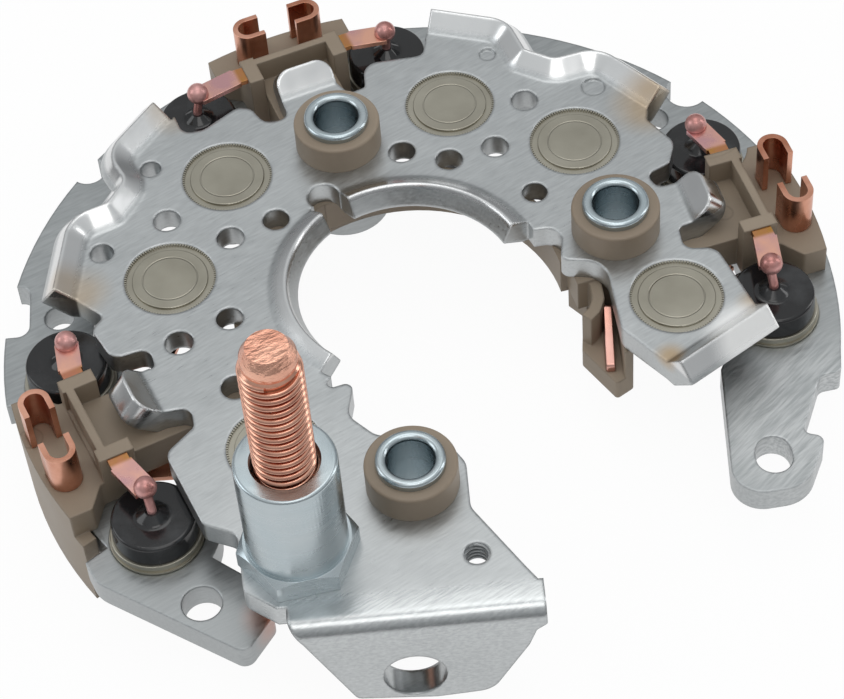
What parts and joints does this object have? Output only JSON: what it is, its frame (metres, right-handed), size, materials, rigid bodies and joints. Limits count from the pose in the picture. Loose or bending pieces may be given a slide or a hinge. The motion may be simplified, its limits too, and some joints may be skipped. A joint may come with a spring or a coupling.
{
  "type": "alternator rectifier",
  "caption": "Ring-shaped rectifier of a vehicle alternator: two aluminium plates with press-fit diodes, plastic insulator, copper terminals and an output stud.",
  "frame": {"origin": "where the axis of the ring, which is the alternator's shaft axis, meets the underside of the negative plate", "axes": "+Z along the ring axis, from the seat towards the output stud's tip; -Y towards the bent-down tab"},
  "size_m": [0.1168, 0.1149, 0.063],
  "materials": {
    "aluminium_sheet": "brushed",
    "tan_plastic": "moulded",
    "zinc_steel": "zinc plated",
    "nickel_plate": "satin nickel",
    "black_potting": "cast resin",
    "copper": "bare copper"
  },
  "bodies": {
    "root": {"end_strip": "copper", "insulating_collar_1": "tan_plastic", "insulating_collar_2": "tan_plastic", "insulating_collar_3": "tan_plastic", "insulator": "tan_plastic", "mounting_sleeve_1": "zinc_steel", "mounting_sleeve_2": "zinc_steel", "mounting_sleeve_3": "zinc_steel", "negative_diode_cup_1": "nickel_plate", "negative_diode_cup_2": "nickel_plate", "negative_diode_cup_3": "nickel_plate", "negative_diode_cup_4": "nickel_plate", "negative_diode_cup_5": "nickel_plate", "negative_diode_cup_6": "nickel_plate", "negative_diode_lead_1": "nickel_plate", "negative_diode_lead_2": "nickel_plate", "negative_diode_lead_3": "nickel_plate", "negative_diode_lead_4": "nickel_plate", "negative_diode_lead_5": "nickel_plate", "negative_diode_lead_6": "nickel_plate", "negative_diode_potting_1": "black_potting", "negative_diode_potting_2": "black_potting", "negative_diode_potting_3": "black_potting", "negative_diode_potting_4": "black_potting", "negative_diode_potting_5": "black_potting", "negative_diode_potting_6": "black_potting", "negative_plate": "aluminium_sheet", "output_stud": "copper", "phase_terminal_1": "copper", "phase_terminal_2": "copper", "phase_terminal_3": "copper", "phase_terminal_4": "copper", "phase_terminal_5": "copper", "phase_terminal_6": "copper", "positive_diode_cup_1": "nickel_plate", "positive_diode_cup_2": "nickel_plate", "positive_diode_cup_3": "nickel_plate", "positive_diode_cup_4": "nickel_plate", "positive_diode_cup_5": "nickel_plate", "positive_diode_cup_6": "nickel_plate", "positive_diode_lead_1": "nickel_plate", "positive_diode_lead_2": "nickel_plate", "positive_diode_lead_3": "nickel_plate", "positive_diode_lead_4": "nickel_plate", "positive_diode_lead_5": "nickel_plate", "positive_diode_lead_6": "nickel_plate", "positive_diode_potting_1": "black_potting", "positive_diode_potting_2": "black_potting", "positive_diode_potting_3": "black_potting", "positive_diode_potting_4": "black_potting", "positive_diode_potting_5": "black_potting", "positive_diode_potting_6": "black_potting", "positive_plate": "aluminium_sheet", "spacer_nut": "zinc_steel"}
  },
  "joints": []
}
